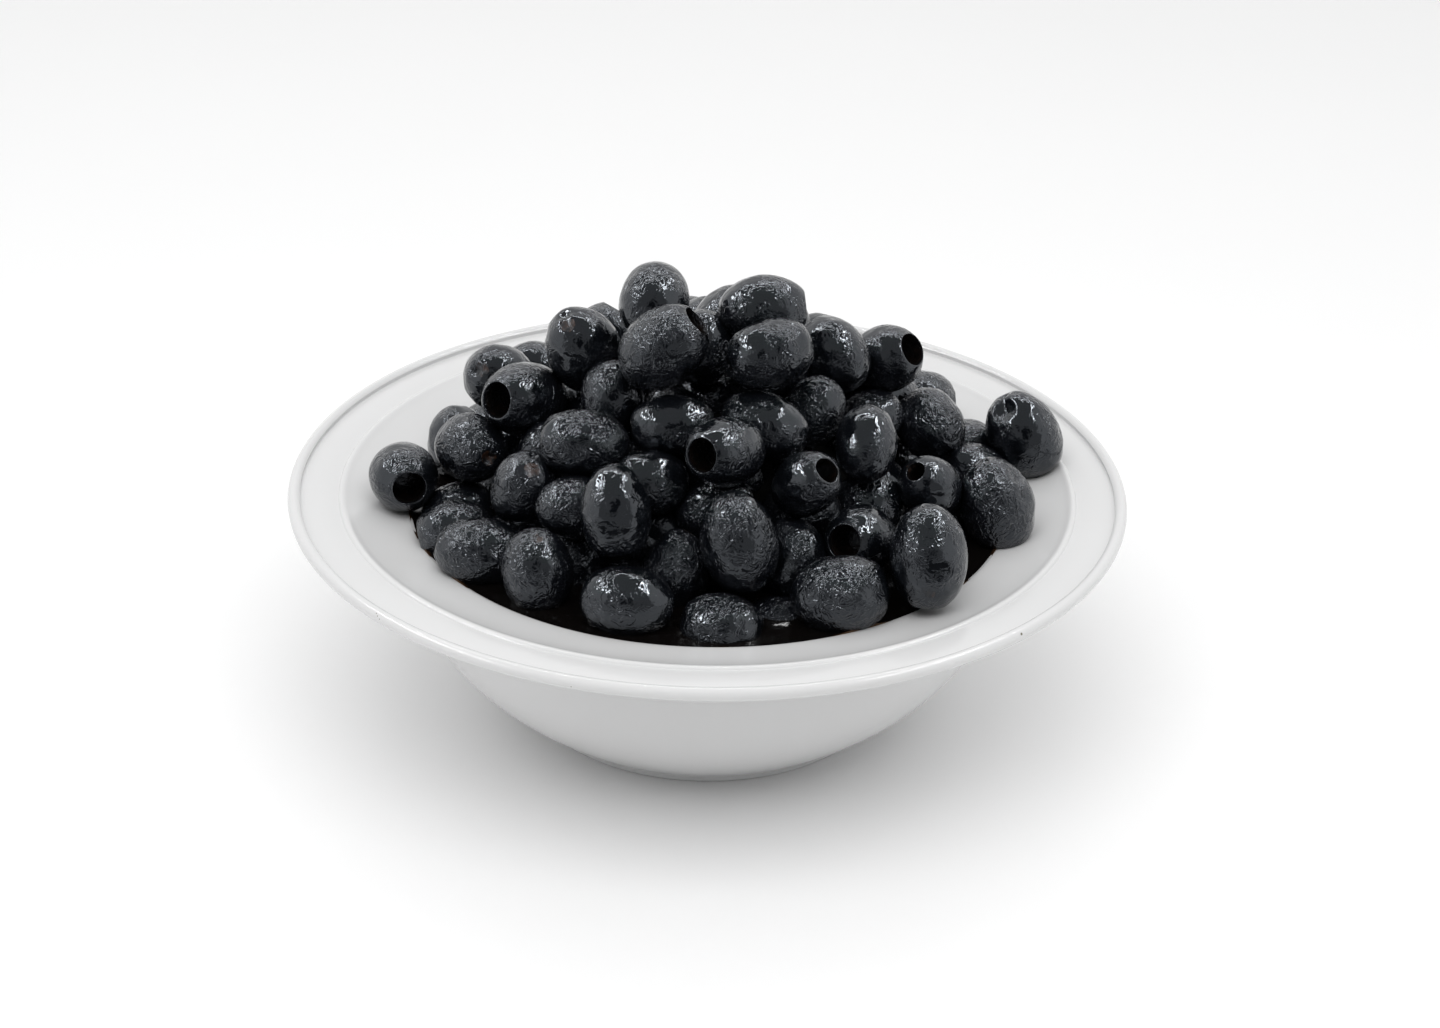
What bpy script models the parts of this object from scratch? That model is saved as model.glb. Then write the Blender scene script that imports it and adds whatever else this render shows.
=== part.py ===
# A rimmed white dish filled with dark brine and heaped with pitted black olives.
# Metres, +Z up. The origin is on the table, under the middle of the dish.

import math
import random
from collections import namedtuple

import bmesh
import bpy
import numpy as np
from mathutils import Matrix, Vector

MM = 0.001

# The dish: heights are given down from the top of its rim
RIM_RADIUS = 108 * MM
DISH_HEIGHT = 63.6 * MM
LIP_THICKNESS = 3.3 * MM
GROOVE_RADIUS = 104.9 * MM
GROOVE_DEPTH = 1.9 * MM
BAND_RADIUS = 95.2 * MM
BAND_DEPTH = 2.1 * MM
BAND_CROWN = 0.4 * MM
BEAD_RADIUS = 94.2 * MM
BEAD_DEPTH = 1.6 * MM
BEAD_WIDTH = 1 * MM
BEAD_RISE = 0.9 * MM
SLOPE_SAG = (87 * MM, 4.6 * MM)
SHOULDER_RADIUS = 78 * MM
SHOULDER_DEPTH = 6.2 * MM
SHOULDER_ROUND = (75.7 * MM, 6.9 * MM)
WELL_RADIUS = 75.4 * MM
WELL_WALL_TOP = 9.5 * MM
WELL_WALL_BOTTOM = 54.5 * MM
WELL_FLOOR = 56.5 * MM
WELL_FLOOR_RISE = 0.3 * MM
WELL_FLOOR_FLAT = 30 * MM
WELL_NARROWING = 26 * MM
WELL_CURVE = 2.7
UNDER_RIM = ((98 * MM, 5.6 * MM), (88 * MM, 8.4 * MM), (82.5 * MM, 10.2 * MM), (79.9 * MM, 12 * MM))
BODY_RADIUS = 80 * MM
BODY_TOP = 8 * MM
BODY_FIRST_DEPTH = 17 * MM
BODY_BOTTOM = 59.6 * MM
BODY_NARROWING = 28.8 * MM
BODY_CURVE = 2.5
FOOT_RADIUS = 47.9 * MM
FOOT_INNER_RADIUS = 43.6 * MM
FOOT_EDGE = 0.7 * MM
FOOT_HOLLOW_DEPTH = 60.6 * MM
SIDES_ROUND = 40

# The brine stands in the rounded shoulder of the well
BRINE_DEPTH = 7.3 * MM
GAP = 0.3 * MM

# The solid mound under the olives, as (radius, height over the rim)
MOUND = ((0, 36), (10, 35.5), (20, 31), (30, 25), (44, 13), (58, 0), (66, -6.5), (69, -7.5))
MOUND_SIDES = 20
MOUND_BOTTOM = -14

# A viewer stands this far from the middle of the rim, and looks down at this angle. The roll is
# how far the picture is turned clockwise.
VIEW_DISTANCE = 700.0
VIEW_DOWN = math.radians(26.75)
VIEW_ROLL = math.radians(1.07)

# Sizes of an olive, as (length, girth) in millimetres
LARGE = (23.0, 19.2)
LONG = (21.8, 17.4)
ROUND = (19.8, 17.6)
SLIM = (20.6, 15.6)
SMALL = (18.4, 15.8)
GREAT = (24.4, 18.8)
SIZES = (LARGE, LONG, ROUND, SLIM, SMALL)

# The end of an olive that faces the viewer
HOLE = "hole"
STAR = "star"
PLAIN = "plain"

# Millimetres and degrees. across and up: where the viewer sees the olive's middle, right of and
# above the middle of the rim. rise: the middle's height over the rim. turn: where the facing end
# points in the viewer's picture, 0 to the right and 90 up. lean: how far that end comes forward.
Olive = namedtuple("Olive", "across up rise turn lean size end")

CROWN = (
    Olive(-14, 44.8, 49, -100, 30, ROUND, PLAIN),
    Olive(14.5, 42.8, 47.5, 184, 5, LONG, PLAIN),
)
UPPER_SLOPE = (
    Olive(-32, 32, 33, 118, 35, LARGE, STAR),
    Olive(-11.5, 33, 44, 38, 20, LARGE, HOLE),
    Olive(16, 31.5, 41, 200, 15, LONG, STAR),
    Olive(32.5, 31.3, 31, -50, 15, ROUND, PLAIN),
    Olive(46, 30, 25, 18, 42, ROUND, HOLE),
)
MIDDLE_SLOPE = (
    Olive(-54, 25, 19.5, 165, 55, ROUND, STAR),
    Olive(-47.5, 19.5, 21, 184, 53, LARGE, HOLE),
    Olive(-32.5, 8, 22, -6, 0, LONG, STAR),
    Olive(-9.5, 12.5, 26.5, 5, 5, SLIM, PLAIN),
    Olive(4.5, 6, 24.5, 190, 55, LONG, HOLE),
    Olive(14, 12.5, 26, -20, 10, LONG, PLAIN),
    Olive(41, 8, 20, -97, 30, SLIM, PLAIN),
    Olive(57.5, 13, 9, -60, 30, ROUND, PLAIN),
)
LOWER_SLOPE = (
    Olive(-61.5, 7, 10, -30, 55, ROUND, STAR),
    Olive(-48, -3.5, 10.5, 70, 30, SMALL, STAR),
    Olive(-34.5, -8.5, 10.5, 180, 20, SMALL, PLAIN),
    Olive(-24, -10, 15, 95, 5, LONG, STAR),
    Olive(-14.5, -2, 15, 175, 10, SMALL, PLAIN),
    Olive(8, -18, 9.5, 100, 20, GREAT, STAR),
    Olive(25.5, -2.5, 17.5, 35, 48, SMALL, HOLE),
    Olive(39.5, -17, 4, -176, 62, ROUND, HOLE),
    Olive(57.5, -3.5, 8, 135, 50, SMALL, HOLE),
)
WATERLINE = (
    Olive(-66, -14.5, -3.5, 190, 0, SMALL, PLAIN),
    Olive(-58.5, -20.3, -1.5, 170, 5, LONG, PLAIN),
    Olive(-44.3, -25.3, -1, 98, 12, ROUND, STAR),
    Olive(-21.5, -33, -1.5, -6, 8, LONG, STAR),
    Olive(3, -40, -8, 0, 10, ROUND, PLAIN),
    Olive(34.8, -31.2, -1, 185, 10, LARGE, PLAIN),
    Olive(57.2, -21.6, 7.5, -89, -12, GREAT, PLAIN),
)
ON_THE_RIM = (
    Olive(-79, -0.5, 2.7, -50, 65, ROUND, HOLE),
    Olive(82, 10, 5.2, 118, 10, LARGE, STAR),
    Olive(75, -8, 2.4, 108, 12, LARGE, STAR),
)
PEEPING = (
    Olive(-0.5, 37.5, 28, 10, 0, ROUND, PLAIN),
    Olive(7.5, 39.5, 36, 30, 0, ROUND, PLAIN),
    Olive(2, 35, 39, 80, 10, SMALL, PLAIN),
    Olive(-28, 34.5, 28, 60, 0, ROUND, PLAIN),
    Olive(54, 18.5, 3.5, 0, 0, ROUND, PLAIN),
    Olive(-46, 25.5, 8, 20, 0, SMALL, PLAIN),
    Olive(-53, 11.5, 4.5, 30, 0, ROUND, PLAIN),
    Olive(-61.5, 8.3, 1, 90, 0, SMALL, PLAIN),
    Olive(-25, 20, 27, 95, 0, SMALL, PLAIN),
    Olive(45, 14, 11, 30, 0, SMALL, PLAIN),
    Olive(27, 16, 22, 60, 10, SMALL, PLAIN),
    Olive(67.5, 7.5, 0, 20, 0, SMALL, PLAIN),
    Olive(71, 2.5, 0, 150, 20, SMALL, PLAIN),
    Olive(-6.5, -22, 1, 60, 0, ROUND, PLAIN),
    Olive(21.5, -22.5, 0, 90, 10, ROUND, PLAIN),
    Olive(20, -40.5, -11, 0, 0, SMALL, PLAIN),
    Olive(-36, -22, -3, 90, 0, SMALL, PLAIN),
    Olive(45.5, -6.5, 5, 60, 0, ROUND, PLAIN),
    Olive(-3.5, -8, 11, 10, 0, ROUND, PLAIN),
    Olive(-67, -8, -4.5, 10, 0, SMALL, PLAIN),
    Olive(-42.5, 6, 12, 90, 0, SMALL, PLAIN),
    Olive(57, -23.5, -1.5, -88, -10, ROUND, PLAIN),
    Olive(61, -12.1, -6, 60, 0, ROUND, PLAIN),
)
SEEN = CROWN + UPPER_SLOPE + MIDDLE_SLOPE + LOWER_SLOPE + WATERLINE + ON_THE_RIM

# Rings of olives that close the heap behind RING_FRONT, as (radius, rise)
RINGS = ((64.5, -4.5), (56.0, 8.5), (44.0, 20.0), (29.5, 30.5), (13.0, 34.0))
RING_SPACING = 18.6
RING_CLEARANCE = 13.6
RING_FRONT = 2
RING_JITTER = 1.5
RING_SEED = 11

# How the olives ease apart, in millimetres: neighbours press into each other by SQUEEZE
SQUEEZE = 0.8
SETTLE_ROUNDS = 240
SETTLE_STEP = 0.5
KEPT_SHARE = 0.35
PULL_HOME = 0.01
RIM_SLOPE = ((70, -16), (76, -6.9), (94.2, -2.2), (106, -2))
RIM_PRESS = 0.4
DEEPEST_MIDDLE = -12

# The olive's mesh: few sides, a little over size so that its flats straddle the true skin
OLIVE_SIDES = 9
OLIVE_RINGS = 7
OLIVE_OVERSIZE = 1.05
HOLE_RADIUS = 4.0 * MM
HOLE_DEPTH = 9.0 * MM
HOLE_TAPER = 0.8
SHARP_EDGE = math.radians(50)


def clear_scene():
    for obj in list(bpy.data.objects):
        bpy.data.objects.remove(obj, do_unlink=True)


def collection_named(name):
    made = bpy.data.collections.new(name)
    bpy.context.scene.collection.children.link(made)
    return made


def material(name, colour, roughness):
    made = bpy.data.materials.new(name)
    made.use_nodes = True
    shader = made.node_tree.nodes["Principled BSDF"]
    shader.inputs["Base Color"].default_value = (*colour, 1)
    shader.inputs["Roughness"].default_value = roughness
    shader.inputs["Metallic"].default_value = 0
    return made


def arc(radius, height, size, start, end, steps):
    """Points (radius, height) along an arc of the profile, its angles in degrees from outwards."""
    points = []
    for i in range(steps + 1):
        angle = math.radians(start + (end - start) * i / steps)
        points.append((radius + size * math.cos(angle), height + size * math.sin(angle)))
    return points


def bend(start, corner, end, steps):
    """A smooth bend that leaves start and reaches end along the lines through the corner."""
    points = []
    for i in range(steps + 1):
        t = i / steps
        a, b, c = (1 - t) ** 2, 2 * t * (1 - t), t ** 2
        points.append(tuple(a * start[k] + b * corner[k] + c * end[k] for k in range(2)))
    return points


def curling_wall(radius, narrowing, power, top, bottom, first, steps):
    """A wall that falls steeply from depth top and curls in towards depth bottom, from first on."""
    points = []
    for i in range(steps + 1):
        depth = first + (bottom - first) * i / steps
        share = (depth - top) / (bottom - top)
        points.append((radius - narrowing * share ** power, -depth))
    return points


def well_wall():
    return curling_wall(
        WELL_RADIUS, WELL_NARROWING, WELL_CURVE, WELL_WALL_TOP, WELL_WALL_BOTTOM, WELL_WALL_TOP, 5
    )


def well_floor(lift):
    rise = -WELL_FLOOR + lift
    return [(WELL_FLOOR_FLAT, rise + WELL_FLOOR_RISE), (0, rise)]


def shoulder():
    """From the top of the well's wall out over its rounded edge to the sloping rim."""
    corner = (SHOULDER_ROUND[0], -SHOULDER_ROUND[1])
    return bend((WELL_RADIUS, -WELL_WALL_TOP), corner, (SHOULDER_RADIUS, -SHOULDER_DEPTH), 4)


def slope_and_bead():
    corner = (SLOPE_SAG[0], -SLOPE_SAG[1])
    end = (BEAD_RADIUS - BEAD_WIDTH, -BEAD_DEPTH - BEAD_RISE)
    slope = bend((SHOULDER_RADIUS, -SHOULDER_DEPTH), corner, end, 3)
    return slope[1:] + [(BEAD_RADIUS, -BEAD_DEPTH)]


def band():
    """The rim's flat band, a little crowned, from the bead out to the groove."""
    corner = ((BAND_RADIUS + GROOVE_RADIUS) / 2, -BAND_DEPTH + 2 * BAND_CROWN)
    return bend((BAND_RADIUS, -BAND_DEPTH), corner, (GROOVE_RADIUS, -GROOVE_DEPTH), 2)


def lip():
    half = LIP_THICKNESS / 2
    return arc(RIM_RADIUS - half, -half, half, 150, -90, 8)


def under_rim():
    """Back in under the rim to the body, which it meets in a hollow bend."""
    return [(radius, -depth) for radius, depth in UNDER_RIM]


def body():
    return curling_wall(
        BODY_RADIUS, BODY_NARROWING, BODY_CURVE, BODY_TOP, BODY_BOTTOM, BODY_FIRST_DEPTH, 6
    )


def foot():
    bottom = -DISH_HEIGHT
    return [
        (FOOT_RADIUS, -BODY_BOTTOM - FOOT_EDGE),
        (FOOT_RADIUS, bottom + FOOT_EDGE),
        (FOOT_RADIUS - FOOT_EDGE, bottom),
        (FOOT_INNER_RADIUS + FOOT_EDGE, bottom),
        (FOOT_INNER_RADIUS, bottom + FOOT_EDGE),
        (FOOT_INNER_RADIUS - FOOT_EDGE, -FOOT_HOLLOW_DEPTH),
        (0, -FOOT_HOLLOW_DEPTH),
    ]


def turned(name, profile, collection, sides=SIDES_ROUND):
    """Turns a profile of (radius, height over the rim) round the dish's middle line."""
    mesh = bpy.data.meshes.new(name)
    points = [(radius, 0, height + DISH_HEIGHT) for radius, height in profile]
    edges = [(i, i + 1) for i in range(len(points) - 1)]
    mesh.from_pydata(points, edges, [])
    obj = bpy.data.objects.new(name, mesh)
    collection.objects.link(obj)
    screw = obj.modifiers.new("turn", "SCREW")
    screw.steps = sides
    screw.render_steps = sides
    screw.use_merge_vertices = True
    screw.merge_threshold = 0.00001
    screw.use_smooth_shade = True
    return obj


def make_dish(collection):
    inside = (well_wall() + well_floor(0))[::-1] + shoulder()[1:]
    outside = under_rim() + body() + foot()
    profile = inside + slope_and_bead() + band() + lip() + outside
    obj = turned("dish", profile, collection)
    obj.data.materials.append(material("white glazed ceramic", (0.82, 0.82, 0.82), 0.12))
    return obj


def make_brine(collection):
    """The brine fills the well up into its rounded shoulder, clear of the wall by the gap."""
    edge = shoulder()
    edge_radius = float(np.interp(-BRINE_DEPTH, [z for _, z in edge], [r for r, _ in edge]))
    wet = [point for point in edge[:0:-1] + well_wall()[:-1] if point[1] < -BRINE_DEPTH - GAP]
    last_radius, last_height = well_wall()[-1]
    profile = [(0, -BRINE_DEPTH), (edge_radius - GAP, -BRINE_DEPTH)]
    profile += [(radius - GAP, height) for radius, height in wet]
    profile += [(last_radius - GAP, last_height + GAP)] + well_floor(GAP)
    obj = turned("brine", profile, collection)
    obj.data.materials.append(material("dark brine", (0.012, 0.009, 0.008), 0.08))
    return obj


def view_axes():
    """Unit vectors to the viewer's right, up the picture, and towards the viewer."""
    towards = Vector((0, -math.cos(VIEW_DOWN), math.sin(VIEW_DOWN)))
    right = Vector((1, 0, 0))
    up = towards.cross(right)
    roll = Matrix.Rotation(VIEW_ROLL, 3, towards)
    return roll @ right, roll @ up, towards


def direction(turn, lean):
    right, up, towards = view_axes()
    turn = math.radians(turn)
    lean = math.radians(lean)
    flat = right * math.cos(turn) + up * math.sin(turn)
    return flat * math.cos(lean) + towards * math.sin(lean)


def seen_at(olive):
    """The olive's middle, in millimetres from the middle of the rim, and the line of sight to it."""
    right, up, towards = view_axes()
    eye = towards * VIEW_DISTANCE
    sight = (right * olive.across + up * olive.up - eye).normalized()
    return eye + sight * ((olive.rise - eye.z) / sight.z), sight


def ring_olives(taken):
    """Olives for the rings, with (middle, axis, size), left out where one is already near."""
    draw = random.Random(RING_SEED)
    found = []
    for ring, (radius, rise) in enumerate(RINGS):
        count = round(2 * math.pi * radius / RING_SPACING)
        for i in range(count):
            bearing = 2 * math.pi * (i + 0.5 * (ring % 2)) / count
            middle = Vector((radius * math.cos(bearing), radius * math.sin(bearing) + 1, rise))
            middle += Vector([draw.uniform(-RING_JITTER, RING_JITTER) for _ in range(3)])
            heading = draw.uniform(0, math.pi)
            axis = Vector((math.cos(heading), math.sin(heading), draw.uniform(-0.5, 0.5)))
            size = draw.choice(SIZES)
            others = taken + [other[0] for other in found]
            nearest = min((middle - other).length for other in others)
            if nearest > RING_CLEARANCE and middle.y > RING_FRONT:
                found.append((middle, axis.normalized(), size))
    return found


def settle(middles, axes, lengths, girths, sights, kept):
    """Eases overlapping olives apart. Each counts as three beads along its axis, and one that the
    viewer sees moves only along the line of sight, so that it keeps its place in the picture."""
    home = middles.copy()
    first, second = np.triu_indices(len(middles), 1)
    touch = (girths[first] + girths[second]) / 2 - SQUEEZE
    share = np.where(kept, KEPT_SHARE, 1.0)
    share_first = share[first] / (share[first] + share[second])
    reach = axes * ((lengths - girths) / 2)[:, None]
    pair = np.arange(len(first))
    for _ in range(SETTLE_ROUNDS):
        beads = np.stack([middles - reach, middles, middles + reach], 1)
        between = (beads[first][:, :, None] - beads[second][:, None, :]).reshape(-1, 9, 3)
        distances = np.linalg.norm(between, axis=2)
        nearest = distances.argmin(1)
        distance = distances[pair, nearest]
        apart = between[pair, nearest] / np.maximum(distance, 1e-6)[:, None]
        push = apart * np.maximum(touch - distance, 0)[:, None] * SETTLE_STEP
        move = np.zeros_like(middles)
        np.add.at(move, first, push * share_first[:, None])
        np.add.at(move, second, -push * (1 - share_first)[:, None])
        along = (move * sights).sum(1)[:, None] * sights
        move = np.where(kept[:, None], along, move)
        middles = middles + move + PULL_HOME * (home - middles)
        radius = np.hypot(middles[:, 0], middles[:, 1])
        rim = np.interp(radius, [r for r, _ in RIM_SLOPE], [z for _, z in RIM_SLOPE])
        lowest = np.where(radius > RIM_SLOPE[0][0], rim + girths / 2 - RIM_PRESS, DEEPEST_MIDDLE)
        middles[:, 2] = np.maximum(middles[:, 2], lowest)
    return middles


def lay_out():
    """Every olive as (middle, axis towards its facing end, (length, girth), end), in metres."""
    listed = SEEN + PEEPING
    places = [seen_at(olive) for olive in listed]
    rings = ring_olives([middle for middle, _ in places])
    axes = [direction(olive.turn, olive.lean) for olive in listed] + [axis for _, axis, _ in rings]
    sizes = [olive.size for olive in listed] + [size for _, _, size in rings]
    middles = settle(
        np.array([middle for middle, _ in places] + [middle for middle, _, _ in rings]),
        np.array(axes),
        np.array([length for length, _ in sizes]),
        np.array([girth for _, girth in sizes]),
        np.array([sight for _, sight in places] + [Vector((0, 0, 1))] * len(rings)),
        np.array([True] * len(SEEN) + [False] * (len(PEEPING) + len(rings))),
    )
    ends = [olive.end for olive in listed] + [PLAIN] * len(rings)
    top = Vector((0, 0, DISH_HEIGHT))
    return [
        (Vector(middle) * MM + top, axis, (size[0] * MM, size[1] * MM), end)
        for middle, axis, size, end in zip(middles, axes, sizes, ends)
    ]


def olive_mesh(name, size, end):
    """An olive along Z with few sides. The pit hole, where it faces out, is sunk in its top."""
    length, girth = size
    bm = bmesh.new()
    bmesh.ops.create_uvsphere(
        bm, u_segments=OLIVE_SIDES, v_segments=OLIVE_RINGS, radius=0.5 * OLIVE_OVERSIZE
    )
    if end == HOLE:
        top = max(vert.co.z for vert in bm.verts)
        cap = [face for face in bm.faces if any(vert.co.z > top - 1e-6 for vert in face.verts)]
        flat = bmesh.ops.dissolve_faces(bm, faces=cap, use_verts=True)["region"]
        bmesh.ops.scale(bm, vec=(girth, girth, length), verts=bm.verts)
        mouth = list(flat[0].verts)
        grow = HOLE_RADIUS / math.hypot(mouth[0].co.x, mouth[0].co.y)
        bmesh.ops.scale(bm, vec=(grow, grow, 1), verts=mouth)
        deep = bmesh.ops.extrude_face_region(bm, geom=flat)["geom"]
        bottom = [item for item in deep if isinstance(item, bmesh.types.BMVert)]
        bmesh.ops.delete(bm, geom=[face for face in flat if face.is_valid], context="FACES_ONLY")
        bmesh.ops.translate(bm, vec=(0, 0, -HOLE_DEPTH), verts=bottom)
        bmesh.ops.scale(bm, vec=(HOLE_TAPER, HOLE_TAPER, 1), verts=bottom)
    else:
        bmesh.ops.scale(bm, vec=(girth, girth, length), verts=bm.verts)
    bmesh.ops.recalc_face_normals(bm, faces=bm.faces)
    mesh = bpy.data.meshes.new(name)
    bm.to_mesh(mesh)
    bm.free()
    return mesh


def apply_boolean(obj, operation, other=None, group=None):
    modifier = obj.modifiers.new("cut", "BOOLEAN")
    modifier.operation = operation
    modifier.solver = "EXACT"
    if group is None:
        modifier.object = other
    else:
        modifier.operand_type = "COLLECTION"
        modifier.collection = group
    bpy.context.view_layer.update()
    evaluated = obj.evaluated_get(bpy.context.evaluated_depsgraph_get())
    mesh = bpy.data.meshes.new_from_object(evaluated)
    obj.modifiers.clear()
    obj.data = mesh


def keep_largest_shell(mesh):
    """Drops loose scraps, and fills sealed hollows by dropping their inner shells."""
    bm = bmesh.new()
    bm.from_mesh(mesh)
    bmesh.ops.triangulate(bm, faces=bm.faces)
    left = set(bm.verts)
    shells = []
    while left:
        shell = {left.pop()}
        fresh = set(shell)
        while fresh:
            beside = {edge.other_vert(vert) for vert in fresh for edge in vert.link_edges}
            fresh = beside & left
            left -= fresh
            shell |= fresh
        shells.append(shell)
    shells.sort(key=len)
    loose = [vert for shell in shells[:-1] for vert in shell]
    bmesh.ops.delete(bm, geom=loose, context="VERTS")
    bm.to_mesh(mesh)
    bm.free()


def make_olives(collection, helpers):
    """The heap: a mound with the olives fused on, cut level over the brine and clear of the rim."""
    outline = MOUND + ((MOUND[-1][0], MOUND_BOTTOM), (0, MOUND_BOTTOM))
    mound = [(radius * MM, height * MM) for radius, height in outline]
    heap = turned("olives", mound, collection, MOUND_SIDES)
    group = collection_named("single olives")
    for number, (middle, axis, size, end) in enumerate(lay_out()):
        obj = bpy.data.objects.new(f"olive.{number:02d}", olive_mesh("olive", size, end))
        turn = axis.to_track_quat("Z", "Y").to_matrix().to_4x4()
        obj.matrix_world = Matrix.Translation(middle) @ turn
        group.objects.link(obj)
    bpy.context.view_layer.update()
    apply_boolean(heap, "UNION", group=group)
    for obj in list(group.objects):
        bpy.data.objects.remove(obj)
    bpy.data.collections.remove(group)

    rim = [point for point in shoulder() + slope_and_bead() + band() if point[1] > -BRINE_DEPTH]
    below = [(0, -BRINE_DEPTH + GAP), (WELL_RADIUS, -BRINE_DEPTH + GAP)]
    below += [(radius, height + GAP) for radius, height in rim]
    below += [(RIM_RADIUS, below[-1][1]), (RIM_RADIUS, -DISH_HEIGHT), (0, -DISH_HEIGHT)]
    cutter = turned("room for dish and brine", below, helpers)
    cutter.hide_render = True
    cutter.display_type = "WIRE"
    apply_boolean(heap, "DIFFERENCE", other=cutter)
    keep_largest_shell(heap.data)
    heap.data.materials.clear()
    heap.data.materials.append(material("wet black olive", (0.02, 0.019, 0.02), 0.2))
    heap.data.shade_smooth()
    heap.data.set_sharp_from_angle(angle=SHARP_EDGE)
    return heap


clear_scene()
parts = collection_named("dish of olives")
cutters = collection_named("cutters")
make_dish(parts)
make_brine(parts)
make_olives(parts, cutters)
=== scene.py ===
# %% [markdown]
# # A dish of black olives
#
# Pitted black olives are heaped in a white rimmed dish, and stand in the dark brine that they
# came in. The sizes and the places of everything come from a frame that is loaded first. This
# lesson then makes what the eye sees: the glaze, the wet skins, the pit holes and the brine.

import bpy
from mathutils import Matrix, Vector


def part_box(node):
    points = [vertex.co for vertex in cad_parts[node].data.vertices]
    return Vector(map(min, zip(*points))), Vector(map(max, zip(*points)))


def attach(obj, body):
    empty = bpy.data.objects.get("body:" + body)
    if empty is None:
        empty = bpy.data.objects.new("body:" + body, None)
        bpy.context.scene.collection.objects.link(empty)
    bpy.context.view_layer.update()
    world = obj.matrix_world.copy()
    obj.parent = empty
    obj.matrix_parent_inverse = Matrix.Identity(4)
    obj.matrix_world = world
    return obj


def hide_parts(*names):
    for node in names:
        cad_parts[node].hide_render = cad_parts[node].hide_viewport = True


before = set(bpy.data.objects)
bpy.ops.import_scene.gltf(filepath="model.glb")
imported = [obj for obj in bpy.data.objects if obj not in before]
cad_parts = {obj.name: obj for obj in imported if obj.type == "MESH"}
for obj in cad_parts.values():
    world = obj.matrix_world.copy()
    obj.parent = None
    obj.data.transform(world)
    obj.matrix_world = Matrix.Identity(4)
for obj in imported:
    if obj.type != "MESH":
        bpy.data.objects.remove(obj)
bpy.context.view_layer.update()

# %% Libraries and units
import math
import random
from collections import namedtuple

import bmesh
import bpy
import numpy as np
from mathutils import Matrix, Vector

MM = 0.001

# %% [markdown]
# ## The view
#
# The photograph looks down at the dish from the front, a good arm's length away. The camera is
# placed by three facts: how far its eye is from the middle of the rim, how steeply it looks
# down, and how far it is rolled. It is aimed a little below and to the right of the middle of
# the rim, so that the rim falls where it does in the picture.

# %% Where the rim is
_, dish_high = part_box("dish")
RIM_RADIUS = 108 * MM
DISH_HEIGHT = dish_high.z
rim_middle = Vector((0, 0, DISH_HEIGHT))
print(f"rim {2 * RIM_RADIUS / MM:.0f} mm across, {DISH_HEIGHT / MM:.1f} mm over the table")

# %% The camera
PICTURE_SIZE = (1440, 1028)
RIM_MIDDLE_PIXEL = (708.2, 474.6)
FOCAL_PIXELS = 2698
VIEW_DISTANCE = 700 * MM
VIEW_DOWN = math.radians(26.75)
VIEW_ROLL = math.radians(1.07)
FILM_WIDTH = 36


def view_axes():
    """Unit vectors to the viewer's right, up the picture, and towards the viewer."""
    towards = Vector((0, -math.cos(VIEW_DOWN), math.sin(VIEW_DOWN)))
    right = Vector((1, 0, 0))
    up = towards.cross(right)
    roll = Matrix.Rotation(VIEW_ROLL, 3, towards)
    return roll @ right, roll @ up, towards


def add_camera():
    right, up, towards = view_axes()
    pixel = VIEW_DISTANCE / FOCAL_PIXELS
    aside = (PICTURE_SIZE[0] / 2 - RIM_MIDDLE_PIXEL[0]) * pixel
    below = (PICTURE_SIZE[1] / 2 - RIM_MIDDLE_PIXEL[1]) * pixel
    eye = rim_middle + towards * VIEW_DISTANCE
    back = (eye - (rim_middle + right * aside - up * below)).normalized()
    level = up.cross(back).normalized()
    turn = Matrix((level, back.cross(level), back)).transposed().to_4x4()
    data = bpy.data.cameras.new("camera")
    data.sensor_width = FILM_WIDTH
    data.lens = FILM_WIDTH * FOCAL_PIXELS / PICTURE_SIZE[0]
    camera = bpy.data.objects.new("camera", data)
    camera.matrix_world = Matrix.Translation(eye) @ turn
    bpy.context.scene.collection.objects.link(camera)
    bpy.context.scene.camera = camera
    return camera


camera = add_camera()
print(f"lens {camera.data.lens:.1f} mm")

# %% [markdown]
# ## Small tools
#
# Everything below is modelled with Blender's own operators, as by hand. An operator acts on
# what is selected, so each step first clears the selection and then picks faces, edges or
# points by their place.

# %% Selecting
def only(piece):
    """Makes one piece the selected and active one, in object mode."""
    if bpy.context.mode != "OBJECT":
        bpy.ops.object.mode_set(mode="OBJECT")
    bpy.ops.object.select_all(action="DESELECT")
    piece.select_set(True)
    bpy.context.view_layer.objects.active = piece


def start_editing(piece):
    only(piece)
    bpy.ops.object.mode_set(mode="EDIT")
    bpy.ops.mesh.select_mode(type="VERT")
    bpy.ops.mesh.select_all(action="DESELECT")


def pick_all():
    bpy.ops.mesh.select_all(action="SELECT")


def stop_editing():
    bpy.ops.object.mode_set(mode="OBJECT")


def pick_points(piece, wanted):
    """Selects, in edit mode, the points whose place is wanted, and nothing else."""
    shape = bmesh.from_edit_mesh(piece.data)
    for face in shape.faces:
        face.select_set(False)
    for edge in shape.edges:
        edge.select_set(False)
    for point in shape.verts:
        point.select_set(bool(wanted(point.co)))
    shape.select_flush(True)
    bmesh.update_edit_mesh(piece.data)


def apply_modifier(piece, kind, **settings):
    only(piece)
    modifier = piece.modifiers.new("shape", kind)
    for name, value in settings.items():
        setattr(modifier, name, value)
    bpy.ops.object.modifier_apply(modifier=modifier.name)


def count_triangles(piece):
    piece.data.calc_loop_triangles()
    return len(piece.data.loop_triangles)


# %% [markdown]
# A round thing such as a dish is easiest to turn, as on a lathe. One point is drawn along the
# outline with extrude, and the outline is spun about the upright axis. Spin can turn the shape
# inside out, so the seam is merged and the normals are recalculated afterwards.

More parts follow.
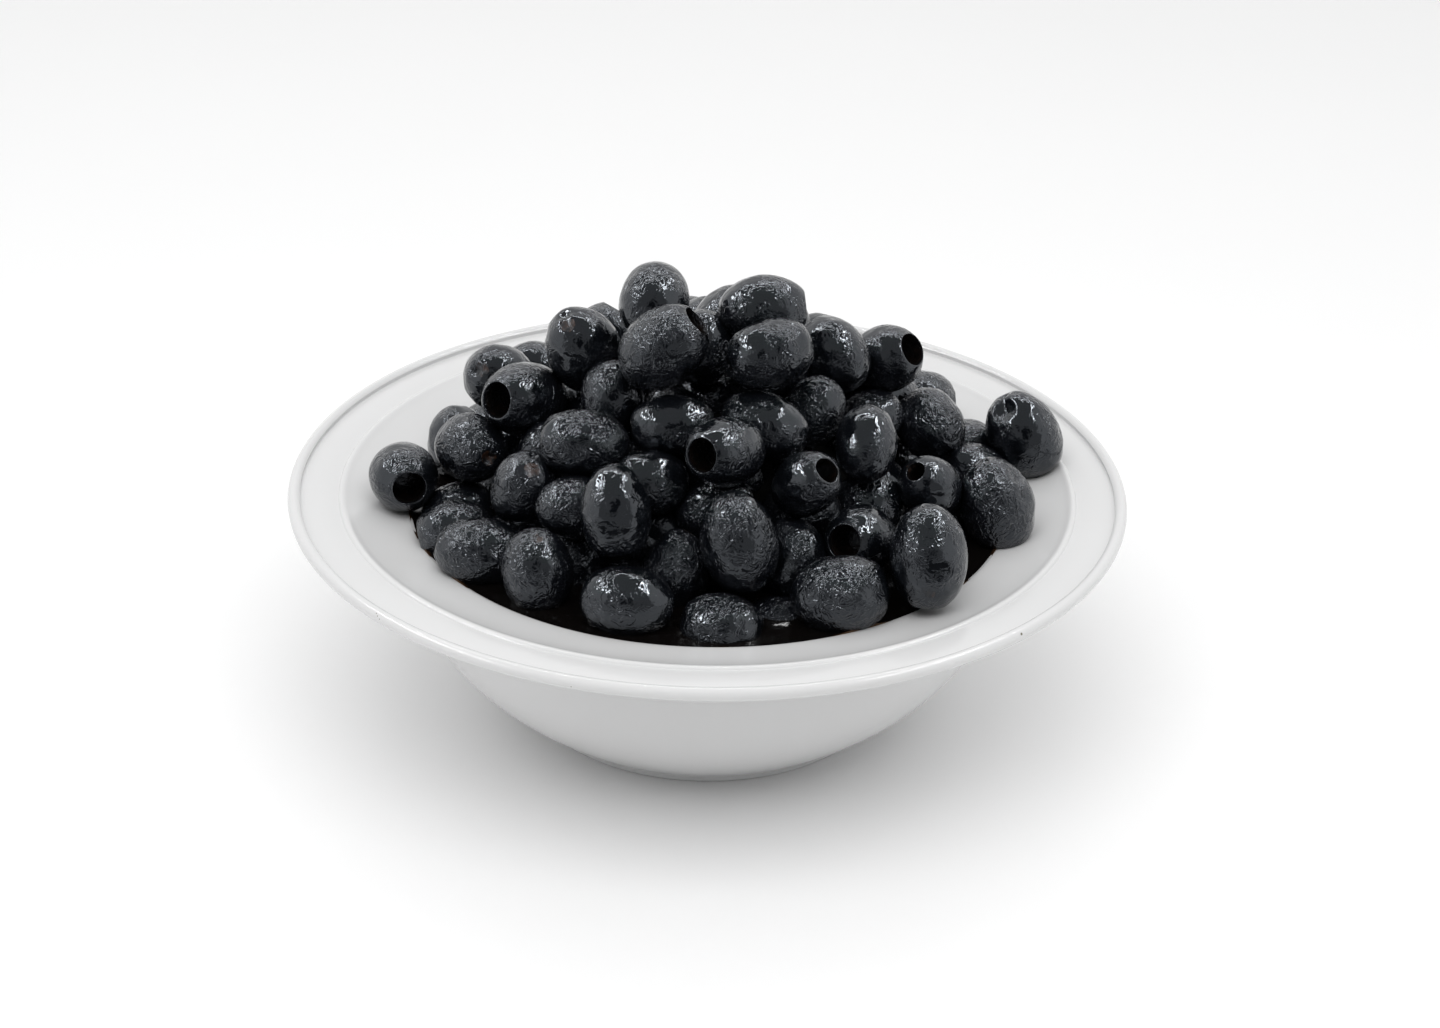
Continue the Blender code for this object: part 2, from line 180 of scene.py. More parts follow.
# %% Turning on a lathe
def turn_on_lathe(name, outline, sides):
    """Turns an outline of (radius, height over the rim) that begins and ends on the axis."""
    radius, height = outline[0]
    bpy.ops.mesh.primitive_plane_add(size=1 * MM, location=(0, 0, 0))
    piece = bpy.context.object
    piece.name = name
    piece.data.name = name
    start_editing(piece)
    pick_all()
    bpy.ops.mesh.merge(type="CENTER")
    bpy.ops.transform.translate(value=(radius, 0, height + DISH_HEIGHT))
    for next_radius, next_height in outline[1:]:
        step = (next_radius - radius, 0, next_height - height)
        bpy.ops.mesh.extrude_region_move(TRANSFORM_OT_translate={"value": step})
        radius, height = next_radius, next_height
    pick_all()
    bpy.ops.mesh.spin(steps=sides, angle=2 * math.pi, center=(0, 0, 0), axis=(0, 0, 1))
    pick_all()
    bpy.ops.mesh.remove_doubles(threshold=0.01 * MM)
    bpy.ops.mesh.normals_make_consistent(inside=False)
    stop_editing()
    bpy.ops.object.shade_smooth_by_angle(angle=math.radians(40))
    print(f"{name}: {len(outline)} points round {sides} sides, {count_triangles(piece)} triangles")
    return piece


def arc(radius, height, size, start, end, steps):
    """Points (radius, height) along an arc of the outline, its angles in degrees from outwards."""
    angles = [math.radians(start + (end - start) * i / steps) for i in range(steps + 1)]
    return [(radius + size * math.cos(a), height + size * math.sin(a)) for a in angles]


def bend(start, corner, end, steps):
    """A smooth bend that leaves start and reaches end along the lines through the corner."""
    points = []
    for i in range(steps + 1):
        t = i / steps
        a, b, c = (1 - t) ** 2, 2 * t * (1 - t), t ** 2
        points.append(tuple(a * start[k] + b * corner[k] + c * end[k] for k in range(2)))
    return points


def curling_wall(radius, narrowing, power, top, bottom, first, steps):
    """A wall that falls steeply from depth top and curls in towards depth bottom, from first on."""
    points = []
    for i in range(steps + 1):
        depth = first + (bottom - first) * i / steps
        share = (depth - top) / (bottom - top)
        points.append((radius - narrowing * share ** power, -depth))
    return points


# %% [markdown]
# ## The dish
#
# The dish is one piece of glazed ware. From the outside in, its rim has a round lip, a shallow
# groove, a flat band, a thin raised bead and a long gentle slope. The slope rolls over a soft
# shoulder into the well. Below the rim the body curls in to a small foot ring. All of it was
# turned, so it is turned here too, from an outline of arcs and bends.

# %% The well of the dish
SHOULDER_RADIUS = 78 * MM
SHOULDER_DEPTH = 6.2 * MM
SHOULDER_ROUND = (75.7 * MM, -6.9 * MM)
WELL_RADIUS = 75.4 * MM
WELL_WALL_TOP = 9.5 * MM
WELL_WALL_BOTTOM = 54.5 * MM
WELL_FLOOR = 56.5 * MM
WELL_FLOOR_CURL = 9 * MM
WELL_NARROWING = 26 * MM
WELL_CURVE = 2.7


def well_wall(steps=18):
    top, bottom = WELL_WALL_TOP, WELL_WALL_BOTTOM
    return curling_wall(WELL_RADIUS, WELL_NARROWING, WELL_CURVE, top, bottom, top, steps)


def well_floor():
    """From the wall's foot in to the axis, nearly flat."""
    corner = (WELL_RADIUS - WELL_NARROWING - WELL_FLOOR_CURL, -WELL_FLOOR)
    return bend(well_wall()[-1], corner, (0, -WELL_FLOOR), 8)


def shoulder(steps=12):
    """From the top of the well's wall out over its rounded edge to the sloping rim."""
    start = (WELL_RADIUS, -WELL_WALL_TOP)
    return bend(start, SHOULDER_ROUND, (SHOULDER_RADIUS, -SHOULDER_DEPTH), steps)


# %% The rim of the dish
SLOPE_SAG = (87 * MM, -4.6 * MM)
BEAD_RADIUS = 94.2 * MM
BEAD_DEPTH = 1.6 * MM
BEAD_WIDTH = 1.5 * MM
BEAD_RISE = 0.6 * MM
BAND_RADIUS = 95.2 * MM
BAND_DEPTH = 2.1 * MM
BAND_CROWN = 0.4 * MM
GROOVE_RADIUS = 104.9 * MM
GROOVE_DEPTH = 1.9 * MM
GROOVE_FLAT = 0.35 * MM
LIP_THICKNESS = 3.3 * MM


def slope():
    start = (SHOULDER_RADIUS, -SHOULDER_DEPTH)
    end = (BEAD_RADIUS - BEAD_WIDTH, -BEAD_DEPTH - BEAD_RISE)
    return bend(start, SLOPE_SAG, end, 12)


def bead():
    """A thin ring that stands a little proud of the slope and rolls down to the flat band."""
    top = (BEAD_RADIUS, -BEAD_DEPTH)
    half = 0.45 * BEAD_WIDTH
    inner = bend(slope()[-1], (BEAD_RADIUS - half, top[1] - 0.1 * BEAD_RISE), top, 4)
    outer = bend(top, (BEAD_RADIUS + half, top[1]), (BAND_RADIUS, -BAND_DEPTH), 4)
    return inner[1:] + outer[1:]


def band():
    middle = ((BAND_RADIUS + GROOVE_RADIUS) / 2, -BAND_DEPTH + 2 * BAND_CROWN)
    return bend((BAND_RADIUS, -BAND_DEPTH), middle, (GROOVE_RADIUS, -GROOVE_DEPTH), 10)


def lip():
    half = LIP_THICKNESS / 2
    top = arc(RIM_RADIUS - half, -half, half, 150, -90, 24)
    corner = (GROOVE_RADIUS + GROOVE_FLAT, -GROOVE_DEPTH)
    return bend((GROOVE_RADIUS, -GROOVE_DEPTH), corner, top[0], 4)[1:-1] + top


# %% The outside of the dish
UNDER_RIM = ((98 * MM, -5.6 * MM), (88 * MM, -8.4 * MM))
UNDER_RIM_CORNER = (80.6 * MM, -10.4 * MM)
BODY_RADIUS = 80 * MM
BODY_TOP = 8 * MM
BODY_FIRST_DEPTH = 17 * MM
BODY_BOTTOM = 59.6 * MM
BODY_NARROWING = 28.8 * MM
BODY_CURVE = 2.5
FOOT_RADIUS = 47.9 * MM
FOOT_INNER_RADIUS = 43.6 * MM
FOOT_EDGE = 0.7 * MM
FOOT_HOLLOW_DEPTH = 60.6 * MM
FOOT_HOLLOW_CURL = 2 * MM


def outside():
    """Back in under the rim, down the body, and round the foot ring to the axis."""
    body = curling_wall(
        BODY_RADIUS, BODY_NARROWING, BODY_CURVE, BODY_TOP, BODY_BOTTOM, BODY_FIRST_DEPTH, 22
    )
    bottom = -DISH_HEIGHT
    waist = bend(body[-1], (FOOT_RADIUS, -BODY_BOTTOM), (FOOT_RADIUS, -BODY_BOTTOM - FOOT_EDGE), 4)
    foot = arc(FOOT_RADIUS - FOOT_EDGE, bottom + FOOT_EDGE, FOOT_EDGE, 0, -90, 4)
    foot += arc(FOOT_INNER_RADIUS + FOOT_EDGE, bottom + FOOT_EDGE, FOOT_EDGE, -90, -180, 4)
    corner = (FOOT_INNER_RADIUS, -FOOT_HOLLOW_DEPTH)
    hollow = bend(foot[-1], corner, (corner[0] - FOOT_HOLLOW_CURL, corner[1]), 4)
    return (
        list(UNDER_RIM)
        + bend(UNDER_RIM[-1], UNDER_RIM_CORNER, body[0], 8)[1:]
        + body[1:]
        + waist[1:]
        + foot
        + hollow[1:]
        + [(0, -FOOT_HOLLOW_DEPTH)]
    )


# %% Turn the dish
DISH_SIDES = 224

inside = (well_wall() + well_floor()[1:])[::-1] + shoulder()[1:]
dish_outline = inside + slope()[1:] + bead() + band()[1:] + lip() + outside()
dish = turn_on_lathe("dish_glazed", dish_outline, DISH_SIDES)

# %% [markdown]
# ## Where each olive lies
#
# Every olive that the photograph shows has its place, as the viewer sees it: how far to the
# right of the middle of the rim, how far above it, and how high over the rim its middle lies.
# A line of sight through the first two meets the third in one point. Rings of olives, placed by
# a rule, close the heap at the back. A few rounds of easing then push neighbours apart, until
# they only press on each other as soft fruit does.

# %% Sizes and ends
LARGE = (23.0, 19.2)
LONG = (21.8, 17.4)
ROUND = (19.8, 17.6)
SLIM = (20.6, 15.6)
SMALL = (18.4, 15.8)
GREAT = (24.4, 18.8)
SIZES = (LARGE, LONG, ROUND, SLIM, SMALL)

HOLE = "hole"
STAR = "star"
PLAIN = "plain"

TAUT = "taut"
PLUMP = "plump"
CREASED = "creased"
SHRIVELLED = "shrivelled"

# Millimetres and degrees. across and up: where the viewer sees the olive's middle, right of and
# above the middle of the rim. rise: the middle's height over the rim. turn: where the facing end
# points in the viewer's picture, 0 to the right and 90 up. lean: how far that end comes forward.
Olive = namedtuple("Olive", "across up rise turn lean size end kind", defaults=(PLAIN, None))

# %% The olives at the top
CROWN = (
    (-14, 44.8, 49, -100, 30, ROUND, PLAIN, PLUMP),
    (14.5, 42.8, 47.5, 184, 5, LONG, PLAIN, PLUMP),
)
UPPER_SLOPE = (
    (-32, 32, 33, 118, 35, LARGE, STAR, CREASED),
    (-11.5, 33, 44, 38, 20, LARGE, HOLE, CREASED),
    (16, 31.5, 41, 200, 15, LONG, STAR, SHRIVELLED),
    (32.5, 31.3, 31, -50, 15, ROUND, PLAIN, PLUMP),
    (46, 30, 25, 18, 42, ROUND, HOLE, PLUMP),
)

# %% The olives on the slope
MIDDLE_SLOPE = (
    (-54, 25, 19.5, 165, 55, ROUND, STAR, CREASED),
    (-47.5, 19.5, 21, 184, 53, LARGE, HOLE, PLUMP),
    (-32.5, 8, 22, -6, 0, LONG, STAR, CREASED),
    (-9.5, 12.5, 26.5, 5, 5, SLIM, PLAIN, CREASED),
    (4.5, 6, 24.5, 190, 55, LONG, HOLE, PLUMP),
    (14, 12.5, 26, -20, 10, LONG, PLAIN, CREASED),
    (41, 8, 20, -97, 30, SLIM, PLAIN, TAUT),
    (57.5, 13, 9, -60, 30, ROUND, PLAIN, SHRIVELLED),
)
LOWER_SLOPE = (
    (-61.5, 7, 10, -30, 55, ROUND, STAR, CREASED),
    (-48, -3.5, 10.5, 70, 30, SMALL, STAR, PLUMP),
    (-34.5, -8.5, 10.5, 180, 20, SMALL, PLAIN, PLUMP),
    (-24, -10, 15, 95, 5, LONG, STAR, CREASED),
    (-14.5, -2, 15, 175, 10, SMALL, PLAIN, SHRIVELLED),
    (8, -18, 9.5, 100, 20, GREAT, STAR, CREASED),
    (25.5, -2.5, 17.5, 35, 48, SMALL, HOLE, CREASED),
    (39.5, -17, 4, -176, 62, ROUND, HOLE, PLUMP),
    (57.5, -3.5, 8, 135, 50, SMALL, HOLE, TAUT),
)

# %% The olives in the brine and on the rim
WATERLINE = (
    (-66, -14.5, -3.5, 190, 0, SMALL, PLAIN, PLUMP),
    (-58.5, -20.3, -1.5, 170, 5, LONG, PLAIN, SHRIVELLED),
    (-44.3, -25.3, -1, 98, 12, ROUND, STAR, PLUMP),
    (-21.5, -33, -1.5, -6, 8, LONG, STAR, CREASED),
    (3, -40, -8, 0, 10, ROUND, PLAIN, SHRIVELLED),
    (34.8, -31.2, -1, 185, 10, LARGE, PLAIN, SHRIVELLED),
    (57.2, -21.6, 7.5, -89, -12, GREAT, PLAIN, PLUMP),
)
ON_THE_RIM = (
    (-79, -0.5, 2.7, -50, 65, ROUND, HOLE, PLUMP),
    (82, 10, 5.2, 118, 10, LARGE, STAR, CREASED),
    (75, -8, 2.4, 108, 12, LARGE, STAR, CREASED),
)
in_sight = CROWN + UPPER_SLOPE + MIDDLE_SLOPE + LOWER_SLOPE + WATERLINE + ON_THE_RIM
SEEN = [Olive(*row) for row in in_sight]
print(len(SEEN), "olives are seen whole or nearly so")

# %% The olives that peep out between them
HALF_HIDDEN = (
    (-0.5, 37.5, 28, 10, 0, ROUND),
    (7.5, 39.5, 36, 30, 0, ROUND),
    (2, 35, 39, 80, 10, SMALL),
    (-28, 34.5, 28, 60, 0, ROUND),
    (54, 18.5, 3.5, 0, 0, ROUND),
    (-46, 25.5, 8, 20, 0, SMALL),
    (-53, 11.5, 4.5, 30, 0, ROUND),
    (-61.5, 8.3, 1, 90, 0, SMALL),
    (-25, 20, 27, 95, 0, SMALL),
    (45, 14, 11, 30, 0, SMALL),
    (27, 16, 22, 60, 10, SMALL),
    (67.5, 7.5, 0, 20, 0, SMALL),
    (71, 2.5, 0, 150, 20, SMALL),
    (-6.5, -22, 1, 60, 0, ROUND),
    (21.5, -22.5, 0, 90, 10, ROUND),
    (20, -40.5, -11, 0, 0, SMALL),
    (-36, -22, -3, 90, 0, SMALL),
    (45.5, -6.5, 5, 60, 0, ROUND),
    (-3.5, -8, 11, 10, 0, ROUND),
    (-67, -8, -4.5, 10, 0, SMALL),
    (-42.5, 6, 12, 90, 0, SMALL),
    (57, -23.5, -1.5, -88, -10, ROUND),
    (61, -12.1, -6, 60, 0, ROUND),
)
PEEPING = [Olive(*row) for row in HALF_HIDDEN]
print(len(PEEPING), "more peep out between them")

# %% Lines of sight
def direction(turn, lean):
    right, up, towards = view_axes()
    turn = math.radians(turn)
    lean = math.radians(lean)
    flat = right * math.cos(turn) + up * math.sin(turn)
    return flat * math.cos(lean) + towards * math.sin(lean)


def seen_at(olive):
    """The olive's middle, in mm from the middle of the rim, and the line of sight to it."""
    right, up, towards = view_axes()
    eye = towards * VIEW_DISTANCE / MM
    sight = (right * olive.across + up * olive.up - eye).normalized()
    return eye + sight * ((olive.rise - eye.z) / sight.z), sight


# %% Rings that close the heap
# Each ring as (radius, rise)
RINGS = ((64.5, -4.5), (56.0, 8.5), (44.0, 20.0), (29.5, 30.5), (13.0, 34.0))
RING_SPACING = 18.6
RING_CLEARANCE = 13.6
RING_FRONT = 2
RING_BACK = 1
RING_JITTER = 1.5
RING_TILT = 0.5
RING_SEED = 11

Placed = namedtuple("Placed", "middle axis size end")


def ring_olives(rings, taken, clearance, front, seed):
    """Olives along the rings, left out where one is already near."""
    draw = random.Random(seed)
    found = []
    for ring, (radius, rise) in enumerate(rings):
        count = round(2 * math.pi * radius / RING_SPACING)
        for i in range(count):
            bearing = 2 * math.pi * (i + 0.5 * (ring % 2)) / count
            depth = radius * math.sin(bearing) + RING_BACK
            middle = Vector((radius * math.cos(bearing), depth, rise))
            middle += Vector([draw.uniform(-RING_JITTER, RING_JITTER) for _ in range(3)])
            heading = draw.uniform(0, math.pi)
            tilt = draw.uniform(-RING_TILT, RING_TILT)
            axis = Vector((math.cos(heading), math.sin(heading), tilt)).normalized()
            size = draw.choice(SIZES)
            nearest = min((middle - other.middle).length for other in taken + found)
            if nearest > clearance and middle.y > front:
                found.append(Placed(middle, axis, size, PLAIN))
    return found


# %% Easing neighbours apart
SQUEEZE = 0.8
SETTLE_ROUNDS = 240
SETTLE_STEP = 0.5
KEPT_SHARE = 0.35
PULL_HOME = 0.01
RIM_SLOPE = ((70, -16), (76, -6.9), (94.2, -2.2), (106, -2))
RIM_PRESS = 0.4
DEEPEST_MIDDLE = -12


def settle(placed, shares, sights, kept):
    """Eases overlapping olives apart. Each counts as three beads along its axis and gives way by
    its share. One that is kept moves only along its line of sight, so that it stays where the
    picture has it."""
    home = middles = np.array([o.middle for o in placed])
    axes = np.array([o.axis for o in placed])
    lengths, girths = np.array([o.size for o in placed]).T
    first, second = np.triu_indices(len(middles), 1)
    touch = (girths[first] + girths[second]) / 2 - SQUEEZE
    share_first = shares[first] / np.maximum(shares[first] + shares[second], 1e-9)
    share_second = shares[second] / np.maximum(shares[first] + shares[second], 1e-9)
    reach = axes * ((lengths - girths) / 2)[:, None]
    pair = np.arange(len(first))
    free = (shares > 0)[:, None]
    for _ in range(SETTLE_ROUNDS):
        beads = np.stack([middles - reach, middles, middles + reach], 1)
        between = (beads[first][:, :, None] - beads[second][:, None, :]).reshape(-1, 9, 3)
        distances = np.linalg.norm(between, axis=2)
        nearest = distances.argmin(1)
        distance = distances[pair, nearest]
        apart = between[pair, nearest] / np.maximum(distance, 1e-6)[:, None]
        push = apart * np.maximum(touch - distance, 0)[:, None] * SETTLE_STEP
        move = np.zeros_like(middles)
        np.add.at(move, first, push * share_first[:, None])
        np.add.at(move, second, -push * share_second[:, None])
        along = (move * sights).sum(1)[:, None] * sights
        move = np.where(kept[:, None], along, move)
        eased = middles + move + PULL_HOME * (home - middles)
        radius = np.hypot(eased[:, 0], eased[:, 1])
        rim = np.interp(radius, [r for r, _ in RIM_SLOPE], [z for _, z in RIM_SLOPE])
        lowest = np.where(radius > RIM_SLOPE[0][0], rim + girths / 2 - RIM_PRESS, DEEPEST_MIDDLE)
        eased[:, 2] = np.maximum(eased[:, 2], lowest)
        middles = np.where(free, eased, middles)
    return [o._replace(middle=Vector(middle)) for o, middle in zip(placed, middles)]


# %% The outer olives in their places
def lay_outer_olives():
    """Every olive on the outside of the heap, in millimetres from the middle of the rim."""
    placed, sights = [], []
    for olive in SEEN + PEEPING:
        middle, sight = seen_at(olive)
        axis = direction(olive.turn, olive.lean)
        placed.append(Placed(middle, axis, olive.size, olive.end))
        sights.append(sight)
    placed += ring_olives(RINGS, placed, RING_CLEARANCE, RING_FRONT, RING_SEED)
    sights += [Vector((0, 0, 1))] * (len(placed) - len(sights))
    kept = np.arange(len(placed)) < len(SEEN)
    return settle(placed, np.where(kept, KEPT_SHARE, 1.0), np.array(sights), kept)


outer_olives = lay_outer_olives()
print(len(outer_olives), "olives lie on the outside of the heap")

# %% [markdown]
# Between the outer olives the eye falls on a second layer, deep in shadow. It is placed by the
# same rule a step further in. It gives way to the outer layer, which stays put.

# %% The inner olives
INNER_RINGS = ((62.0, -12.0), (50.0, -4.0), (41.0, 5.0), (29.0, 14.5), (16.0, 23.0), (6.0, 28.0))
INNER_CLEARANCE = 11.0
INNER_WIDEST = 58.0
INNER_SEED = 5


def lay_inner_olives():
    everywhere = -RIM_RADIUS / MM
    rings = ring_olives(INNER_RINGS, outer_olives, INNER_CLEARANCE, everywhere, INNER_SEED)
    placed = outer_olives + rings
    loose = np.arange(len(placed)) >= len(outer_olives)
    sights, kept = np.zeros((len(placed), 3)), np.zeros(len(placed), bool)
    eased = settle(placed, loose.astype(float), sights, kept)
    inner = eased[len(outer_olives):]
    return [o for o in inner if math.hypot(o.middle.x, o.middle.y) < INNER_WIDEST]


inner_olives = lay_inner_olives()
print(len(inner_olives), "olives lie in the shadow behind them")

# %% [markdown]
# ## One olive
#
# A pitted olive has two machine cuts. At one end a tube went in and pushed the pit out: a
# clean round hole, about eight millimetres wide, that opens into the hollow where the pit was.
# At the other end a star of blades held the fruit, and left slits whose corners pucker inwards.
# Four kinds are modelled, from taut to shrivelled, and a simpler one for the shadow. Every olive
# in the dish is a copy of one of them with its own mesh, so that its skin can then be dented in
# its own way.

# %% The kinds of olive
# In millimetres: hole, the pit hole's radius, star_depth, how deep the slits sink, and soft and
# folds, how far noise moves the skin. crinkle: how strongly the finish wrinkles it.
Kind = namedtuple("Kind", "sides rings hole slits star_depth soft folds crinkle")
KINDS = {
    TAUT: Kind(30, 18, 2.8, 5, 0.6, 0.4, 0.08, 0.5),
    PLUMP: Kind(30, 18, 4.25, 5, 0.9, 0.6, 0.2, 0.95),
    CREASED: Kind(30, 18, 3.6, 3, 1.2, 0.8, 0.4, 1.2),
    SHRIVELLED: Kind(30, 18, 3.1, 6, 1.1, 1.0, 0.6, 1.5),
}
BURIED = "buried"
BURIED_KIND = Kind(18, 11, 3.6, 6, 1.5, 1.2, 0.3, 1.0)
TEMPLATE_SIZE = (20.7, 17.2)
# The hollow behind the hole, as (share of the hole's radius, depth)
HOLLOW = ((0.985, 0.06), (0.95, 0.3), (0.92, 1.2), (1.02, 3.5), (1.08, 7.0), (0.8, 10.5))
# How far the slits reach, as (degrees from the end, share of their depth)
STAR_REACH = ((9, 1.0), (18, 0.8), (27, 0.45), (36, 0.12))
STAR_TIP = 1.3
SLIT_HALF_LENGTH = 4.4
SLIT_HALF_WIDTH = 3


def polar_angle(place, end):
    """Degrees from the olive's upper end (1) or its lower end (-1), as on a ball."""
    length, girth = (side * MM for side in TEMPLATE_SIZE)
    upright = end * place.z / length
    return math.degrees(math.atan2(math.hypot(place.x, place.y) / girth, upright))


def piece_points(piece):
    return bmesh.from_edit_mesh(piece.data).verts


def cut_pit_hole(piece, kind):
    """Opens the upper end and draws the edge down into the hollow."""
    mouth = math.degrees(math.asin(kind.hole / (TEMPLATE_SIZE[1] / 2)))
    pick_points(piece, lambda place: polar_angle(place, 1) < mouth - 1)
    bpy.ops.mesh.delete(type="VERT")
    nearest = min(polar_angle(point.co, 1) for point in piece_points(piece))
    pick_points(piece, lambda place: polar_angle(place, 1) < nearest + 1)
    edge = [point.co for point in piece_points(piece) if point.select]
    height = edge[0].z
    shrink = kind.hole * MM / max(math.hypot(place.x, place.y) for place in edge)
    bpy.ops.transform.resize(value=(shrink, shrink, 1), center_override=(0, 0, height))
    last_share, last_depth = 1.0, 0.0
    for share, depth in HOLLOW:
        step = (0, 0, -(depth - last_depth) * MM)
        bpy.ops.mesh.extrude_edges_move(TRANSFORM_OT_translate={"value": step})
        height += step[2]
        grow = share / last_share
        bpy.ops.transform.resize(value=(grow, grow, 1), center_override=(0, 0, height))
        last_share, last_depth = share, depth
    bpy.ops.mesh.extrude_edges_move(TRANSFORM_OT_translate={"value": (0, 0, 0)})
    bpy.ops.mesh.merge(type="CENTER")


def cut_star(piece, kind):
    """Sinks the lower end along the slits."""
    pick_points(piece, lambda place: polar_angle(place, -1) < 1)
    bpy.ops.transform.translate(value=(0, 0, kind.star_depth * STAR_TIP * MM))
    apart = 360 / kind.slits
    for angle, share in STAR_REACH:
        def in_slit(place):
            bearing = math.degrees(math.atan2(place.y, place.x)) % apart
            along = abs(polar_angle(place, -1) - angle)
            return along < SLIT_HALF_LENGTH and min(bearing, apart - bearing) < SLIT_HALF_WIDTH
        pick_points(piece, in_slit)
        bpy.ops.transform.translate(value=(0, 0, kind.star_depth * share * MM))


def model_olive(name, kind):
    length, girth = (side * MM for side in TEMPLATE_SIZE)
    bpy.ops.mesh.primitive_uv_sphere_add(segments=kind.sides, ring_count=kind.rings, radius=0.5)
    piece = bpy.context.object
    piece.name = "olive_" + name
    start_editing(piece)
    pick_all()
    bpy.ops.transform.resize(value=(girth, girth, length))
    cut_star(piece, kind)
    cut_pit_hole(piece, kind)
    pick_all()
    bpy.ops.mesh.normals_make_consistent(inside=False)
    stop_editing()
    apply_modifier(piece, "SUBSURF", levels=1, render_levels=1)
    mark_cuts(piece, kind)
    print(f"{piece.name}: {count_triangles(piece)} triangles")
    return piece


# %% [markdown]
# The cut flesh is dull and dark, and brown where the skin is torn. Three attributes are painted
# on each point for the material to read later: how deep it is in a cut, how torn its skin is,
# and a number that is the same all over one olive, so that no two have quite the same skin.

# %% Painting the cuts
# How far below the skin a cut starts to darken, and over what depth it does, in millimetres
HOLE_SHADE = (0.1, 1.0)
STAR_SHADE = (0.35, 1.3)
HOLE_REACH = (1.12, 12)
STAR_RADIUS = 5


def skin_height(around):
    """How high the smooth skin stands there over the middle of an upright olive."""
    length, girth = TEMPLATE_SIZE
    return length / 2 * np.sqrt(np.clip(1 - (2 * around / girth) ** 2, 0, 1))


def mark_cuts(piece, kind):
    places = np.zeros(len(piece.data.vertices) * 3, np.float32)
    piece.data.vertices.foreach_get("co", places)
    places = places.reshape(-1, 3) / MM
    around = np.hypot(places[:, 0], places[:, 1])
    height = places[:, 2]
    mouth = skin_height(kind.hole)
    sunk = np.clip((mouth - HOLE_SHADE[0] - height) / HOLE_SHADE[1], 0, 1)
    in_hole = sunk * (around < kind.hole * HOLE_REACH[0]) * (height > mouth - HOLE_REACH[1])
    below_skin = np.clip((height + skin_height(around) - STAR_SHADE[0]) / STAR_SHADE[1], 0, 1)
    in_star = below_skin * (height < 0) * (around < STAR_RADIUS)
    nothing = np.zeros(len(places))
    painted = {"cut": np.maximum(in_hole, in_star), "torn": nothing, "own": nothing}
    for name, values in painted.items():
        attribute = piece.data.attributes.new(name, "FLOAT", "POINT")
        attribute.data.foreach_set("value", values.astype(np.float32))


templates = {name: model_olive(name, kind) for name, kind in KINDS.items()}

# %% [markdown]
# ## Filling the dish
#
# The copies are turned so that the cut that shows in the photograph faces the viewer, and are
# joined into one piece for each kind. Soft noise then pushes the joined skins in and out. It
# runs through the whole dish, so that each olive gets bumps and dents of its own.

# %% Copy and join
OUTER_KIND_SEED = 3
FAR_SIDE = 22.0
ALONG_RINGS = (PLUMP, CREASED, SHRIVELLED)


def kind_of(number, draw):
    listed = SEEN + PEEPING
    chosen = listed[number].kind if number < len(listed) else None
    return chosen or draw.choice(ALONG_RINGS)


def hole_is_turned_round(placed, draw):
    """Whether the hole goes to the far end of the axis, where the viewer sees less of it."""
    _, _, towards = view_axes()
    if placed.end == PLAIN and placed.middle.y < FAR_SIDE:
        return placed.axis.dot(towards) > 0
    return placed.end == STAR or (placed.end == PLAIN and draw.random() < 0.5)


def place_copy(template, placed, draw):
    """A copy with its own mesh, turned and stretched to its place in the heap."""
    copy = template.copy()
    copy.data = template.data.copy()
    bpy.context.scene.collection.objects.link(copy)
    flip = Matrix.Rotation(math.pi, 4, "X") if hole_is_turned_round(placed, draw) else Matrix()
    spin = Matrix.Rotation(draw.uniform(0, 2 * math.pi), 4, "Z")
    length, girth = (side * MM for side in placed.size)
    wide, _, tall = template.dimensions
    stretch = Matrix.Diagonal((girth / wide, girth / wide, length / tall, 1))
    turn = placed.axis.to_track_quat("Z", "Y").to_matrix().to_4x4()
    place = Matrix.Translation(placed.middle * MM + rim_middle)
    copy.data.transform(place @ turn @ stretch @ flip @ spin)
    own = np.full(len(copy.data.vertices), draw.uniform(0, 1), np.float32)
    copy.data.attributes["own"].data.foreach_set("value", own)
    return copy


def join_copies(name, copies):
    only(copies[0])
    for copy in copies:
        copy.select_set(True)
    bpy.ops.object.join()
    piece = bpy.context.object
    piece.name = name
    piece.data.name = name
    return piece


def fill_with(name, template_of, placed_olives, seed):
    draw = random.Random(seed)
    groups = {}
    for number, placed in enumerate(placed_olives):
        kind = template_of(number, draw)
        groups.setdefault(kind, []).append(place_copy(templates[kind], placed, draw))
    return {kind: join_copies(f"{name}_{kind}", copies) for kind, copies in groups.items()}


outer = fill_with("olives", kind_of, outer_olives, OUTER_KIND_SEED)
for kind, piece in outer.items():
    print(piece.name, count_triangles(piece), "triangles")

# %% The shadowed layer
templates[BURIED] = model_olive(BURIED, BURIED_KIND)
inner = fill_with("olives", lambda number, draw: BURIED, inner_olives, INNER_SEED)[BURIED]
print(inner.name, count_triangles(inner), "triangles")

# %% Dents and folds
DENT_SIZE = 9 * MM
FOLD_SIZE = 3.4 * MM


def push_with_noise(piece, size, strength):
    """Pushes the skin in and out by noise whose waves are about size across."""
    texture = bpy.data.textures.new("skin", "CLOUDS")
    texture.noise_scale = size
    texture.noise_depth = 1
    settings = {"texture": texture, "texture_coords": "LOCAL"}
    apply_modifier(piece, "DISPLACE", strength=strength, mid_level=0.5, **settings)


for name, piece in outer.items():
    push_with_noise(piece, DENT_SIZE, KINDS[name].soft * MM)
    push_with_noise(piece, FOLD_SIZE, KINDS[name].folds * MM)
push_with_noise(inner, DENT_SIZE, BURIED_KIND.soft * MM)
print("skins dented by up to", max(kind.soft for kind in KINDS.values()) / 2, "mm")

